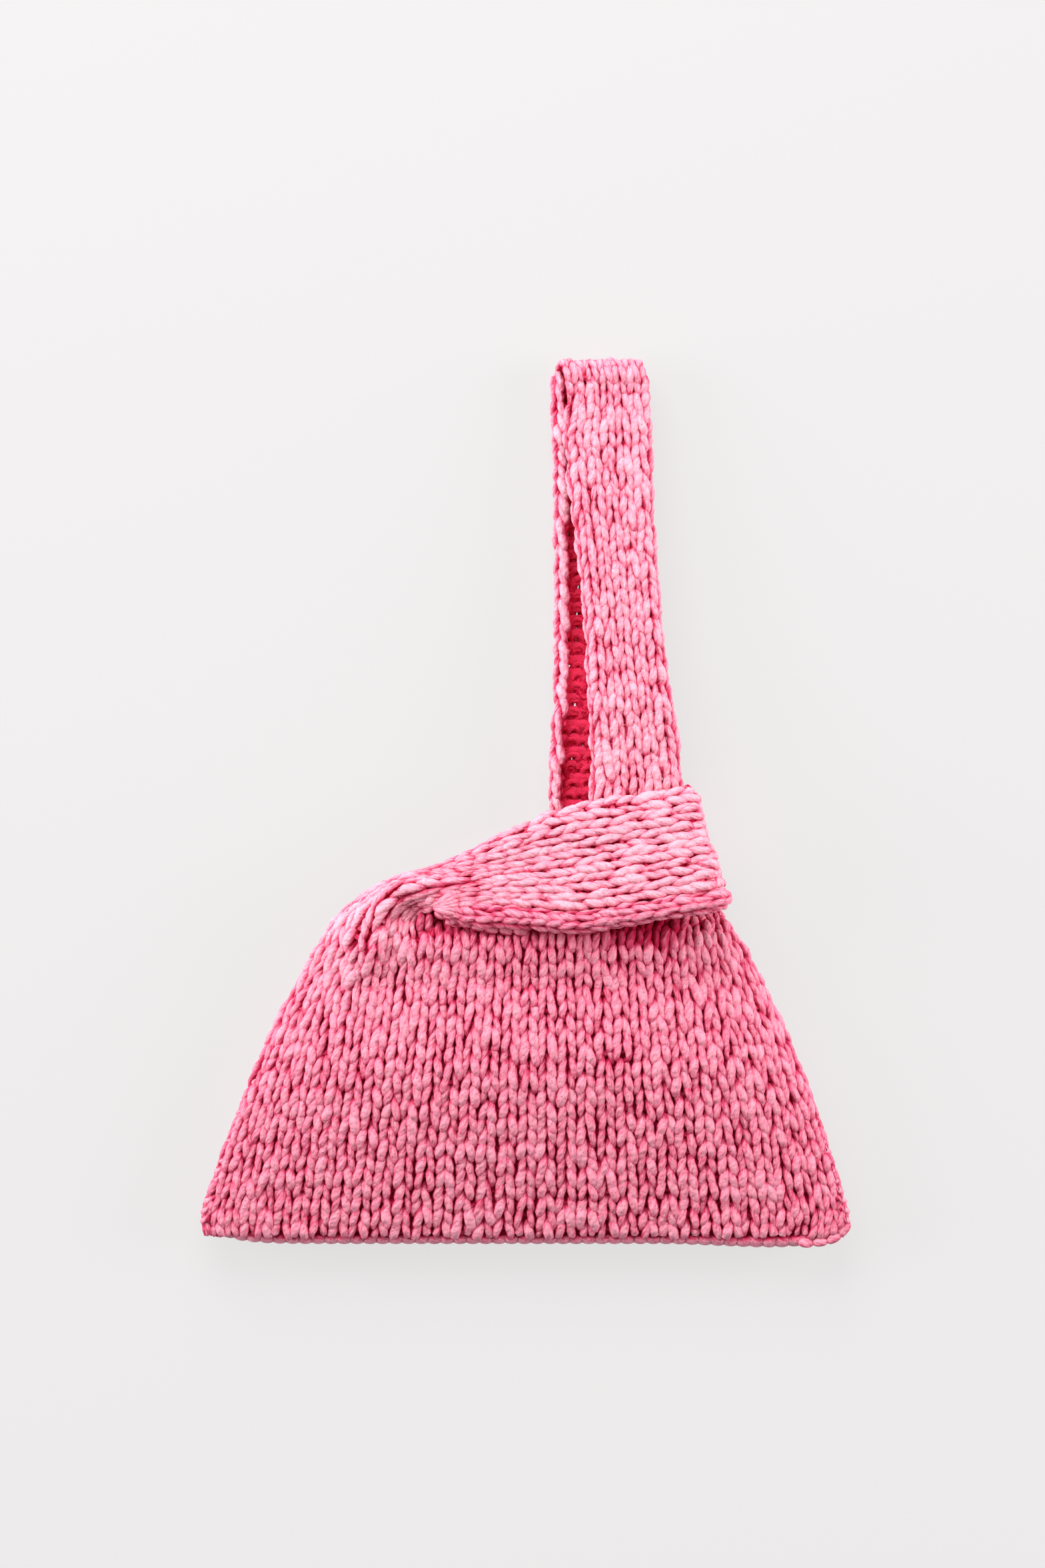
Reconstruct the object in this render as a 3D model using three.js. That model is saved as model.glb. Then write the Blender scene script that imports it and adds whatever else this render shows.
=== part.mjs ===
// A hand-knitted knot bag, lying on its back with its long handle pulled through its short one.
// Units are millimetres. +X runs along the bottom seam, +Y from the bottom seam towards the
// handle's fold and +Z up from the surface that the bag lies on. The origin is on that surface,
// under the middle of the bag's box.
import * as THREE from 'three';

const { lerp, smoothstep } = THREE.MathUtils;

// Knit: the thickness of the chunky fabric, of the yarn sewn between its edges, and the
// clearance between pieces that touch.
const FABRIC = 7;
const SEAM = 3;
const GAP = 0.4;

// Pouch: its plan is a bowed trapezium with round corners, and its front is a bulge.
const BAG_LENGTH = 407;
const BASE_WIDTH = 311;
const NECK_WIDTH = 183;
const NECK_X = 3;
const POUCH_LENGTH = 150;
const POUCH_DEPTH = 50;
const PEAK_LENGTH = 138;
const SIDE_BOW = 6.5;
const BOW_SKEW = 0.6;
const CORNER_RADIUS = 18;
const ARCH_POWER = 2.2;
const BULGE_POWER = 1.5;
const EDGE_LIFT = 10;
const EDGE_ROLL = 0.7;
const ROLL_LENGTH = 63;
const MOUTH_GAP = 18;

// Long handle: two straps that leave the right of the neckline and meet in a fold at the top.
const STRAP_WIDTH = 38;
const STRAP_CURVE = 1.5;
const SHOULDER_WIDTH = 64;
const SHOULDER_X = 51;
const FRONT_FOOT_X = 48.5;
const FRONT_TOP_X = 37;
const BACK_FOOT_X = 31;
const BACK_TOP_X = 32.5;
const FOLD_GAP = 7;
const SWING_CLEARANCE = 9;
const LANDING_LENGTH = 40;

// Short handle: a loop from the left of the neckline that lies across the front, goes round the
// long handle and comes back behind it. It slides up the long handle to open the bag.
const LOOP_START_X = -18;
const LOOP_START_RISE = 22;
const LOOP_START_WIDTH = 30;
const LOOP_END_EASE = 11.5;
const LOOP_END_RISE = 38;
const LOOP_WIDTH = 47;
const LOOP_SPREAD = 0.45;
const LOOP_TILT = 0.2;
const LOOP_FOLD = 8;
const SLIDE_LEAN = 0.1;
const SLIDE_TRAVEL = 25;

// Left shoulder, and the yarn that gathers it in the corner of the mouth. The rolled edge of the
// loop starts beside it.
const SHOULDER_REACH = 44;
const SHOULDER_BOW = 2;
const GATHER_RADIUS = 5;
const EDGE_RADIUS = 5;

// Ramp of the back panel up onto the loop's back layer.
const RAMP_LENGTH = 29;
const RAMP_CLEARANCE = 8;

// Grid of the soft sheets: facets across and along, and how the rows crowd to the bottom seam.
const PANEL_ACROSS = 28;
const PANEL_ALONG = 20;
const STRAP_ACROSS = 4;
const STRAP_ALONG = 16;
const FOLD_FACETS = 12;
const ROW_CROWDING = 1.7;

// Places along the bag that follow from the sizes above.
const yBottom = -BAG_LENGTH / 2;
const yTop = BAG_LENGTH / 2;
const yNeck = yBottom + POUCH_LENGTH;
const yFold = yTop - FABRIC - FOLD_GAP / 2;

// Heights of the layers at the neckline, from the surface up: the loop's back layer, the back,
// the mouth, the front and the loop's front layer.
const backLift = FABRIC + GAP;
const frontBottom = backLift + FABRIC + MOUTH_GAP;
const frontTop = frontBottom + FABRIC;
const loopBottom = frontTop + GAP;

// The loop's middle line and edges, in plan. It starts on a line along its slide, so that it can
// move past the shoulder, and widens to its full width.
const slide = new THREE.Vector2(-SLIDE_LEAN, 1).normalize();
const loopStart = new THREE.Vector2(LOOP_START_X, yNeck + LOOP_START_RISE);
const loopEndX = FRONT_FOOT_X + STRAP_WIDTH / 2 + LOOP_END_EASE;
const loopEnd = new THREE.Vector2(loopEndX, yNeck + LOOP_END_RISE);
const loopAlong = loopEnd.clone().sub(loopStart).normalize();
const loopAcross = new THREE.Vector2(-loopAlong.y, loopAlong.x);

function loopHalfWidth(t) {
  return lerp(LOOP_START_WIDTH, LOOP_WIDTH, smoothstep(t, 0, LOOP_SPREAD)) / 2;
}

// A point of the loop in plan: side is 1 at its upper edge and -1 at its lower edge.
function loopPlan(side, t) {
  const across = slide.clone().lerp(loopAcross, smoothstep(t, 0, LOOP_SPREAD));
  return loopStart.clone().lerp(loopEnd, t).addScaledVector(across, side * loopHalfWidth(t));
}

// The loop's front layer stands further off the bag towards its lower edge.
function loopHeight(side, t) {
  return loopBottom + LOOP_TILT * (1 - side) * loopHalfWidth(t);
}

const loopLowest = Math.min(...Array.from({ length: 21 }, (_, i) => loopPlan(-1, i / 20).y));
const loopHighest = loopPlan(1, 1).y + SLIDE_TRAVEL;
const ySwing = loopHighest + SWING_CLEARANCE;

// Underside of the back: flat on the surface under the pouch, up onto the loop's back layer, and
// down to the surface again past the loop's travel.
function backBottom(y) {
  const rampEnd = loopLowest - RAMP_CLEARANCE;
  const up = smoothstep(y, rampEnd - RAMP_LENGTH, rampEnd);
  const down = smoothstep(y, loopHighest + GAP, loopHighest + LANDING_LENGTH);
  return backLift * (up - down);
}

function backTop(y) {
  return backBottom(y) + FABRIC;
}

// Underside of the long handle's front strap: level to the swing line, then down to the fold.
function strapBottom(y) {
  const run = Math.max(0, (y - ySwing) / (yFold - ySwing));
  return lerp(frontBottom, FABRIC + FOLD_GAP, run);
}

// Half the pouch's width at y: straight sides, bowed out most in their upper half, with round
// bottom corners.
function halfWidth(y) {
  const rise = y - yBottom;
  const run = rise / POUCH_LENGTH;
  const straight = lerp(BASE_WIDTH, NECK_WIDTH, run) / 2;
  const bow = 4 * SIDE_BOW * run * (1 - run) * (1 + BOW_SKEW * (run - 0.58));
  const corner = Math.max(0, CORNER_RADIUS - rise);
  return straight + bow - CORNER_RADIUS + Math.sqrt(CORNER_RADIUS ** 2 - corner ** 2);
}

// Middle of the pouch at y: the neckline lies a little to the right of the bottom seam's middle.
function middleX(y) {
  return (NECK_X * (y - yBottom)) / POUCH_LENGTH;
}

// How far a side of the pouch is inside its seams: 0 on a seam, 1 over the middle.
function archAcross(side) {
  return (1 - Math.abs(side) ** ARCH_POWER) ** (1 / ARCH_POWER);
}

// The back panel rolls up off the surface towards the side and bottom seams.
function edgeLift(side, run) {
  const along = Math.max(0, 1 - (run * POUCH_LENGTH) / ROLL_LENGTH);
  const roll = 1 - smoothstep(archAcross(side) * Math.sqrt(1 - along ** 2), 0, EDGE_ROLL);
  return EDGE_LIFT * roll * (1 - smoothstep(run, 0.5, 1));
}

// Top of the back panel's edge, and the height of the front panel's edge on the seam yarn.
function seamBase(y) {
  return backTop(y) + edgeLift(1, (y - yBottom) / POUCH_LENGTH);
}
function panelBase(y) {
  return seamBase(y) + GAP + SEAM + GAP;
}

// The bulge along the bag: a slope that levels out at the peak, then a parabola down to the
// neckline.
const peakRun = PEAK_LENGTH / POUCH_LENGTH;
function bulge(run, peak, neck) {
  if (run < peakRun) {
    return peak * (1 - (1 - run / peakRun) ** BULGE_POWER);
  }
  const fall = (run - peakRun) / (1 - peakRun);
  return lerp(peak, neck, fall ** 2);
}

// A surface of the front panel, inset from the outer one.
function frontSurface(inset) {
  const peak = POUCH_DEPTH - panelBase(yBottom + PEAK_LENGTH) - inset;
  const neck = frontTop - panelBase(yNeck) - inset;
  return (s, t) => {
    const side = 2 * s - 1;
    const run = t ** ROW_CROWDING;
    const y = lerp(yBottom + inset, yNeck, run);
    const x = middleX(y) + side * (halfWidth(y) - inset);
    const rise = bulge(run, peak, neck) * archAcross(side);
    return new THREE.Vector3(x, y, panelBase(y) + rise);
  };
}

// A closed sheet of fabric between two surfaces, each a function of s and t from 0 to 1. Seen
// from the upper surface, t is a quarter turn to the left of s.
function sheet(lower, upper, across, along) {
  const positions = [];
  for (const surface of [lower, upper]) {
    for (let j = 0; j <= along; j++) {
      for (let i = 0; i <= across; i++) {
        positions.push(...surface(i / across, j / along).toArray());
      }
    }
  }
  const layer = (across + 1) * (along + 1);
  const at = (i, j) => j * (across + 1) + i;
  const index = [];
  for (let j = 0; j < along; j++) {
    for (let i = 0; i < across; i++) {
      const [a, b, c, d] = [at(i, j), at(i + 1, j), at(i + 1, j + 1), at(i, j + 1)];
      index.push(a, c, b, a, d, c);
      index.push(layer + a, layer + b, layer + c, layer + a, layer + c, layer + d);
    }
  }
  const wall = (p, q) => index.push(p, q, layer + q, p, layer + q, layer + p);
  for (let i = 0; i < across; i++) {
    wall(at(i, 0), at(i + 1, 0));
    wall(at(i + 1, along), at(i, along));
  }
  for (let j = 0; j < along; j++) {
    wall(at(across, j), at(across, j + 1));
    wall(at(0, j + 1), at(0, j));
  }
  const geometry = new THREE.BufferGeometry();
  geometry.setAttribute('position', new THREE.Float32BufferAttribute(positions, 3));
  geometry.setIndex(index);
  geometry.computeVertexNormals();
  return geometry;
}

// A sheet of one thickness over a lower surface.
function layer(lower, thickness, across, along) {
  const upper = (s, t) => lower(s, t).add(new THREE.Vector3(0, 0, thickness));
  return sheet(lower, upper, across, along);
}

// A strap along Y: its middle and width are functions of t, its underside of y.
function strap(yStart, yEnd, middle, width, underside) {
  const lower = (s, t) => {
    const y = lerp(yStart, yEnd, t);
    return new THREE.Vector3(middle(t) + (s - 0.5) * width(t), y, underside(y));
  };
  return layer(lower, FABRIC, STRAP_ACROSS, STRAP_ALONG);
}

const yarnPink = new THREE.MeshStandardMaterial({ color: 0xf08aa6, roughness: 0.92, metalness: 0 });
const seamPink = new THREE.MeshStandardMaterial({ color: 0xe2688a, roughness: 0.95, metalness: 0 });

const bag = new THREE.Group();

function add(name, geometry, material) {
  const mesh = new THREE.Mesh(geometry, material);
  mesh.name = name;
  bag.add(mesh);
  return mesh;
}

// Pouch panels.
add('front_panel', sheet(frontSurface(FABRIC), frontSurface(0), PANEL_ACROSS, PANEL_ALONG), yarnPink);

const backSurface = (s, t) => {
  const side = 2 * s - 1;
  const run = t ** ROW_CROWDING;
  const y = lerp(yBottom, yNeck, run);
  const x = middleX(y) + side * halfWidth(y);
  return new THREE.Vector3(x, y, backBottom(y) + edgeLift(side, run));
};
add('back_panel', layer(backSurface, FABRIC, PANEL_ACROSS, PANEL_ALONG), yarnPink);

// Seam yarn between the edges of the two panels.
function sideSeam(side) {
  const lower = (s, t) => {
    const y = lerp(yBottom + FABRIC + GAP, yNeck, t ** ROW_CROWDING);
    const outward = side > 0 ? s : 1 - s;
    const x = middleX(y) + side * (halfWidth(y) - FABRIC * (1 - outward));
    return new THREE.Vector3(x, y, seamBase(y) + GAP);
  };
  return layer(lower, SEAM, 1, PANEL_ALONG);
}
add('left_side_seam', sideSeam(-1), seamPink);
add('right_side_seam', sideSeam(1), seamPink);

const bottomSeamSurface = (s, t) => {
  const y = lerp(yBottom, yBottom + FABRIC, t);
  return new THREE.Vector3((2 * s - 1) * halfWidth(y), y, seamBase(y) + GAP);
};
add('bottom_seam', layer(bottomSeamSurface, SEAM, STRAP_ACROSS, STRAP_ACROSS), seamPink);

// Right shoulder: the foot of the long handle, inside the loop.
const shoulderWidth = (t) => lerp(SHOULDER_WIDTH, STRAP_WIDTH, smoothstep(t, 0, 1));
const shoulderMiddle = (foot) => (t) => lerp(SHOULDER_X, foot, smoothstep(t, 0, 1));
function rightShoulder(foot, underside) {
  return strap(yNeck + GAP, ySwing - GAP / 2, shoulderMiddle(foot), shoulderWidth, underside);
}
add('right_shoulder_front', rightShoulder(FRONT_FOOT_X, () => frontBottom), yarnPink);
add('right_shoulder_back', rightShoulder(BACK_FOOT_X, backBottom), yarnPink);

// Left shoulder: a ruled patch from the neckline to the line where the loop starts. s runs from
// its outer edge to the mouth's corner.
const shoulderOuter = new THREE.Vector2(NECK_X - halfWidth(yNeck), yNeck + GAP);
const shoulderCorner = shoulderOuter.clone();
shoulderCorner.x += SHOULDER_REACH;
function leftShoulderSurface(neckHeight, loopEdgeHeight) {
  return (s, t) => {
    const side = 1 - 2 * s;
    const start = shoulderOuter.clone().lerp(shoulderCorner, s);
    const end = loopPlan(side, 0);
    end.x -= GAP;
    const bow = SHOULDER_BOW * 4 * t * (1 - t) * (1 - s);
    const plan = start.lerp(end, t).addScaledVector(slide, bow);
    return new THREE.Vector3(plan.x, plan.y, lerp(neckHeight, loopEdgeHeight(side), t));
  };
}
const leftFront = leftShoulderSurface(frontBottom, (side) => loopHeight(side, 0));
const leftBack = leftShoulderSurface(backLift, () => 0);
add('left_shoulder_front', layer(leftFront, FABRIC, STRAP_ACROSS, STRAP_ALONG), yarnPink);
add('left_shoulder_back', layer(leftBack, FABRIC, STRAP_ACROSS, STRAP_ALONG), yarnPink);

// Yarn that gathers the shoulder in the corner of the mouth, set off its top along the normal.
const leftTop = (s, t) => leftFront(s, t).add(new THREE.Vector3(0, 0, FABRIC));
const seat = leftTop(0.8, 0.5);
const normal = new THREE.Vector3().crossVectors(
  leftTop(0.85, 0.5).sub(leftTop(0.75, 0.5)),
  leftTop(0.8, 0.55).sub(leftTop(0.8, 0.45)),
).normalize();
const gather = add('mouth_gather', new THREE.IcosahedronGeometry(GATHER_RADIUS, 2), seamPink);
gather.position.copy(seat).addScaledVector(normal, GATHER_RADIUS + 2 * GAP);

// Long handle above the swing line.
const straight = () => STRAP_WIDTH;
const leaning = (foot, top) => (t) => lerp(top, foot, (1 - t) ** STRAP_CURVE);
function handleStrap(foot, top, underside) {
  return strap(ySwing + GAP / 2, yFold - GAP, leaning(foot, top), straight, underside);
}
add('long_handle_front', handleStrap(FRONT_FOOT_X, FRONT_TOP_X, strapBottom), yarnPink);
add('long_handle_back', handleStrap(BACK_FOOT_X, BACK_TOP_X, backBottom), yarnPink);

// Grafted stitches that join the two straps in the top fold: half a tube along X.
function topFold(radius) {
  const axis = FABRIC + FOLD_GAP / 2;
  return (s, t) => {
    const turn = Math.PI * t;
    const x = lerp(FRONT_TOP_X, BACK_TOP_X, t) + (s - 0.5) * STRAP_WIDTH;
    return new THREE.Vector3(x, yFold + radius * Math.sin(turn), axis + radius * Math.cos(turn));
  };
}
const foldInner = topFold(FOLD_GAP / 2);
const foldOuter = topFold(FOLD_GAP / 2 + FABRIC);
add('long_handle_graft', sheet(foldInner, foldOuter, STRAP_ACROSS, FOLD_FACETS), seamPink);

// Short handle: front layer, back layer on the surface, and the graft round its end.
const loopFrontSurface = (s, t) => {
  const side = 1 - 2 * s;
  const plan = loopPlan(side, t);
  return new THREE.Vector3(plan.x, plan.y, loopHeight(side, t));
};
const loopBackSurface = (s, t) => loopFrontSurface(s, t).setZ(0);
add('short_handle_front', layer(loopFrontSurface, FABRIC, STRAP_ACROSS, STRAP_ALONG), yarnPink);
add('short_handle_back', layer(loopBackSurface, FABRIC, STRAP_ACROSS, STRAP_ALONG), yarnPink);

function loopFold(inset) {
  return (s, t) => {
    const side = 1 - 2 * s;
    const turn = Math.PI * t;
    const axis = (loopHeight(side, 1) + FABRIC) / 2;
    const reach = GAP + (LOOP_FOLD - inset) * Math.sin(turn);
    const plan = loopPlan(side, 1).addScaledVector(loopAlong, reach);
    return new THREE.Vector3(plan.x, plan.y, axis + (axis - inset) * Math.cos(turn));
  };
}
add('short_handle_graft', sheet(loopFold(FABRIC), loopFold(0), STRAP_ACROSS, FOLD_FACETS), seamPink);

// Rolled edge along the lower side of the loop's front layer: a closed round rope.
function rope(middle, radial, radius, along, around) {
  const positions = [];
  const index = [];
  const at = (j, k) => j * around + (k % around);
  for (let j = 0; j <= along; j++) {
    const centre = middle(j / along);
    const outward = radial(j / along);
    for (let k = 0; k < around; k++) {
      const turn = (2 * Math.PI * k) / around;
      const point = centre.clone().addScaledVector(outward, radius * Math.cos(turn));
      point.z += radius * Math.sin(turn);
      positions.push(...point.toArray());
    }
  }
  positions.push(...middle(0).toArray(), ...middle(1).toArray());
  const first = (along + 1) * around;
  for (let k = 0; k < around; k++) {
    for (let j = 0; j < along; j++) {
      const [a, b, c, d] = [at(j, k), at(j, k + 1), at(j + 1, k + 1), at(j + 1, k)];
      index.push(a, c, b, a, d, c);
    }
    index.push(first, at(0, k), at(0, k + 1), first + 1, at(along, k + 1), at(along, k));
  }
  const geometry = new THREE.BufferGeometry();
  geometry.setAttribute('position', new THREE.Float32BufferAttribute(positions, 3));
  geometry.setIndex(index);
  geometry.computeVertexNormals();
  return geometry;
}
const edgeReach = 1 + LOOP_FOLD / loopStart.distanceTo(loopEnd);
const edgeOutward = (u) => {
  const t = u * edgeReach;
  const across = loopPlan(-1, t).sub(loopPlan(1, t)).normalize();
  return new THREE.Vector3(across.x, across.y, 0);
};
const edgeMiddle = (u) => {
  const t = u * edgeReach;
  const plan = loopPlan(-1, t);
  const edge = new THREE.Vector3(plan.x, plan.y, loopHeight(-1, t) + FABRIC / 2);
  return edge.addScaledVector(edgeOutward(u), EDGE_RADIUS + GAP);
};
add('short_handle_edge', rope(edgeMiddle, edgeOutward, EDGE_RADIUS, STRAP_ALONG, 10), seamPink);

export default bag;
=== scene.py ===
# %% [markdown]
# # A hand-knitted knot bag
# The bag lies on its back on a pale table and is seen from straight above. Its long handle is
# pulled through its short one. The whole bag is one kind of fabric, stocking stitch in a chunky
# pink yarn, so the lesson is mostly about one thing: how to turn any smooth surface into rows of
# real knitted loops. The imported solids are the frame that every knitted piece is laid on.

import bpy
import numpy as np
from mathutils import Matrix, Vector


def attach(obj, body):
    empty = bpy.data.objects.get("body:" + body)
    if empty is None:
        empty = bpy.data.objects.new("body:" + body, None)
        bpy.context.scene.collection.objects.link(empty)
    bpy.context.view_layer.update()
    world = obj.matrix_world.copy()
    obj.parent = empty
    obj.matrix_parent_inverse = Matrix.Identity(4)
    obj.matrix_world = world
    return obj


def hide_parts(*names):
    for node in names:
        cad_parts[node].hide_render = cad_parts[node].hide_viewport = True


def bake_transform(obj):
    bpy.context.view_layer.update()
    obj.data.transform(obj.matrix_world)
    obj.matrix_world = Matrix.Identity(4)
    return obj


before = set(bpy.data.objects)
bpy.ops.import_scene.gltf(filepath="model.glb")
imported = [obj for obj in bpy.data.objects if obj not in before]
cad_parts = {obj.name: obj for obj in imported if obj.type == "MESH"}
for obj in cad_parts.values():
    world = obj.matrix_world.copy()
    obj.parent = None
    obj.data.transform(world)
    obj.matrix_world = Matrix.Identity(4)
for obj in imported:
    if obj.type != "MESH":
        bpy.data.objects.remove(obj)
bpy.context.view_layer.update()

# %% [markdown]
# ## Camera
# The photograph looks straight down, with no visible slant, so the camera hangs high above the
# table with a long lens. One pixel of the photograph is 0.3046 mm on the bag, which fixes how
# much of the table the frame covers. That scale holds 25 mm above the table, where most of the
# bag's face lies.

# %% Camera over the table
MM = 0.001
PIXEL = 0.3046 * MM
FRAME_HEIGHT = 2353 * PIXEL
FRAME_MIDDLE = (-0.9 * MM, 8.8 * MM)
CAMERA_DISTANCE, SCALE_HEIGHT, SENSOR = 2.6, 25 * MM, 36.0

lens = bpy.data.cameras.new("camera")
lens.sensor_fit = "VERTICAL"
lens.sensor_height = SENSOR
lens.lens = SENSOR * CAMERA_DISTANCE / FRAME_HEIGHT
lens.clip_end = 20.0
camera = bpy.data.objects.new("camera", lens)
camera.location = (*FRAME_MIDDLE, CAMERA_DISTANCE + SCALE_HEIGHT)
bpy.context.collection.objects.link(camera)
bpy.context.scene.camera = camera
print("lens", round(lens.lens, 1), "mm")

# %% [markdown]
# ## Sizes of the bag
# These are the sizes of the solids, in millimetres, because a knitted piece has to lie exactly
# where its solid is.

# %% Sizes and small helpers
FABRIC, SEAM, GAP = 7.0, 3.0, 0.4
BAG_LENGTH, POUCH_LENGTH, POUCH_DEPTH, PEAK_LENGTH = 407.0, 150.0, 50.0, 138.0
BASE_WIDTH, NECK_WIDTH, NECK_X = 311.0, 183.0, 3.0
SIDE_BOW, BOW_SKEW, BOW_MIDDLE, CORNER_RADIUS = 6.5, 0.6, 0.58, 18.0
ARCH_POWER, BULGE_POWER, EDGE_LIFT, EDGE_ROLL, ROLL_LENGTH = 2.2, 1.5, 10.0, 0.7, 63.0
MOUTH_GAP, FOLD_GAP, LANDING_LENGTH = 18.0, 7.0, 40.0
LOOP_START, LOOP_END = np.array([-18.0, -31.5]), np.array([79.0, -15.5])
LOOP_START_WIDTH, LOOP_WIDTH, LOOP_SPREAD, LOOP_TILT = 30.0, 47.0, 0.45, 0.2
EDGE_RADIUS, SLIDE_TRAVEL, SWING_CLEARANCE = 5.0, 25.0, 9.0

Y_BOTTOM, Y_TOP = -BAG_LENGTH / 2, BAG_LENGTH / 2
Y_NECK = Y_BOTTOM + POUCH_LENGTH
Y_FOLD = Y_TOP - FABRIC - FOLD_GAP / 2
BACK_LIFT = FABRIC + GAP
FRONT_BOTTOM = BACK_LIFT + FABRIC + MOUTH_GAP
FRONT_TOP = FRONT_BOTTOM + FABRIC
LOOP_BOTTOM = FRONT_TOP + GAP
PEAK_RUN = PEAK_LENGTH / POUCH_LENGTH
MID = FABRIC / 2


def lerp(a, b, t):
    """Straight mix: a at t = 0 and b at t = 1."""
    return a + (b - a) * t


def smoothstep(x, low, high):
    """Soft step: 0 up to low, 1 from high, and 3t^2 - 2t^3 between them."""
    t = np.clip((x - low) / (high - low), 0, 1)
    return t * t * (3 - 2 * t)


def unit(v):
    """Vectors along the last axis, made one long."""
    return v / np.maximum(np.linalg.norm(v, axis=-1, keepdims=True), 1e-9)


print("neckline at", Y_NECK, "mm, fold at", Y_FOLD, "mm")

# %% [markdown]
# ## The pouch as a smooth surface
# Before any stitch there is a shape. The pouch is a trapezium with bowed sides and round bottom
# corners. Its front swells like a cushion: along the bag it climbs a slope that levels out at a
# peak and then falls to the neckline, and across the bag it follows a flattened arch. A product
# of those two curves is enough, and the loops will later sit on it.


# %% Plan of the pouch
def half_width(y):
    """Half the pouch's width at y: straight sides, plus a parabola, less a round corner."""
    rise = y - Y_BOTTOM
    run = rise / POUCH_LENGTH
    corner = np.clip(CORNER_RADIUS - rise, 0, CORNER_RADIUS)
    bow = 4 * SIDE_BOW * run * (1 - run) * (1 + BOW_SKEW * (run - BOW_MIDDLE))
    straight = lerp(BASE_WIDTH, NECK_WIDTH, run) / 2 + bow
    return straight - CORNER_RADIUS + np.sqrt(CORNER_RADIUS**2 - corner**2)


def middle_x(y):
    """Middle of the pouch at y: it leans a little to the right towards the neckline."""
    return NECK_X * (y - Y_BOTTOM) / POUCH_LENGTH


def arch_across(side):
    """Arch over the width: a superellipse that is 1 in the middle and 0 at each side seam."""
    return (1 - np.minimum(np.abs(side), 1) ** ARCH_POWER) ** (1 / ARCH_POWER)


print("width at the neckline:", 2 * half_width(Y_NECK), "mm")

# %% [markdown]
# The heights come next. The back lies on the table, rolls up off it towards its seams, and climbs
# a ramp onto the back layer of the short handle's loop, which lies at a slight slant. The front
# starts at the back's edge, on the seam yarn, and bulges from there.

# %% Heights of the panels
SLANT_COSINE, RAMP_FOOT, RAMP_TOP = 0.987, -85.6, -56.6
LOOP_HIGHEST = LOOP_END[1] + SLANT_COSINE * LOOP_WIDTH / 2 + SLIDE_TRAVEL
Y_SWING = LOOP_HIGHEST + SWING_CLEARANCE


def back_bottom(y):
    """Underside of the back: on the table, up onto the loop's back layer, and down again."""
    up = smoothstep(y, RAMP_FOOT, RAMP_TOP)
    return BACK_LIFT * (up - smoothstep(y, LOOP_HIGHEST + GAP, LOOP_HIGHEST + LANDING_LENGTH))


def edge_lift(side, run):
    """The back panel rolls up off the table towards its seams, and less so at the neckline."""
    along = np.clip(1 - run * POUCH_LENGTH / ROLL_LENGTH, 0, 1)
    roll = 1 - smoothstep(arch_across(side) * np.sqrt(1 - along**2), 0, EDGE_ROLL)
    return EDGE_LIFT * roll * (1 - smoothstep(run, 0.5, 1))


def panel_base(y):
    """Height of the front panel's edge: the back's edge plus the seam yarn."""
    lift = edge_lift(np.ones_like(y), (y - Y_BOTTOM) / POUCH_LENGTH)
    return back_bottom(y) + lift + FABRIC + GAP + SEAM + GAP


def bulge(run, peak, neck):
    """Rise of the front over its edge: a slope that levels out at the peak, then a parabola."""
    climb = np.clip(1 - run / PEAK_RUN, 0, 1)
    fall = np.clip((run - PEAK_RUN) / (1 - PEAK_RUN), 0, 1)
    return np.where(run < PEAK_RUN, peak * (1 - climb**BULGE_POWER), lerp(peak, neck, fall**2))


print("the handle bends at", round(Y_SWING, 1), "mm")

# %% [markdown]
# With those, each panel is a function of two numbers: a side from -1 to 1 between the seams, and
# a run that is 0 at the bottom seam and 1 at the neckline. It gives the middle of the fabric.

# %% Panels as surfaces
BOTTOM_INSET = 5.2


def front_point(side, run):
    """Middle layer of the front panel at a side from -1 to 1 and a run from 0 to about 1.1."""
    y = lerp(Y_BOTTOM + BOTTOM_INSET, Y_NECK, run)
    base = panel_base(y)
    peak = POUCH_DEPTH - MID - panel_base(np.array(Y_BOTTOM + PEAK_LENGTH))
    neck = FRONT_TOP - MID - panel_base(np.array(Y_NECK))
    x = middle_x(y) + side * (half_width(y) - MID)
    return np.stack([x, y, base + bulge(run, peak, neck) * arch_across(side)], -1)


def back_point(side, run):
    """Middle layer of the back panel. Side runs the other way, so that its face looks down."""
    y = lerp(Y_BOTTOM + BOTTOM_INSET, Y_NECK, run)
    x = middle_x(y) - side * (half_width(y) - MID)
    z = back_bottom(y) + edge_lift(side, (y - Y_BOTTOM) / POUCH_LENGTH) + MID
    return np.stack([x, y, z], -1)


print("top of the pouch:", np.round(front_point(np.array(0.0), np.array(PEAK_RUN)), 1))

# %% [markdown]
# ## One row of stocking stitch
# Each row, or course, is one strand that waves up and down. Going along the strand by an angle,
# the strand moves one stitch for each full turn, swings sideways at twice that rate so that each
# loop is narrow at its foot and wide at its head, goes up and down with the cosine, and dips
# behind the fabric at every head and foot. The two legs of each loop stay in front and make the
# V that knitting is known for. Hand knitting is uneven, so smooth seeded noise moves every strand
# a little. A bump map could fake the Vs, but it can't give the dark gaps between the columns.

# %% Knitting
LEAN, RISE, DIP, TUCK = 0.19, 1.0, 1.1, 0.45
YARN, SWELL, FLATTEN = 1.72, 0.22, 0.95
USUAL_WALE, FLAT_FRONT, BELLS_PER_STITCH = 8.4, 2.0, 5.5
UNEVEN_ACROSS, UNEVEN_ALONG, UNEVEN_DEPTH, UNEVEN_YARN = 0.05, 0.14, 0.35, 0.14
rng = np.random.default_rng(20)


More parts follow.
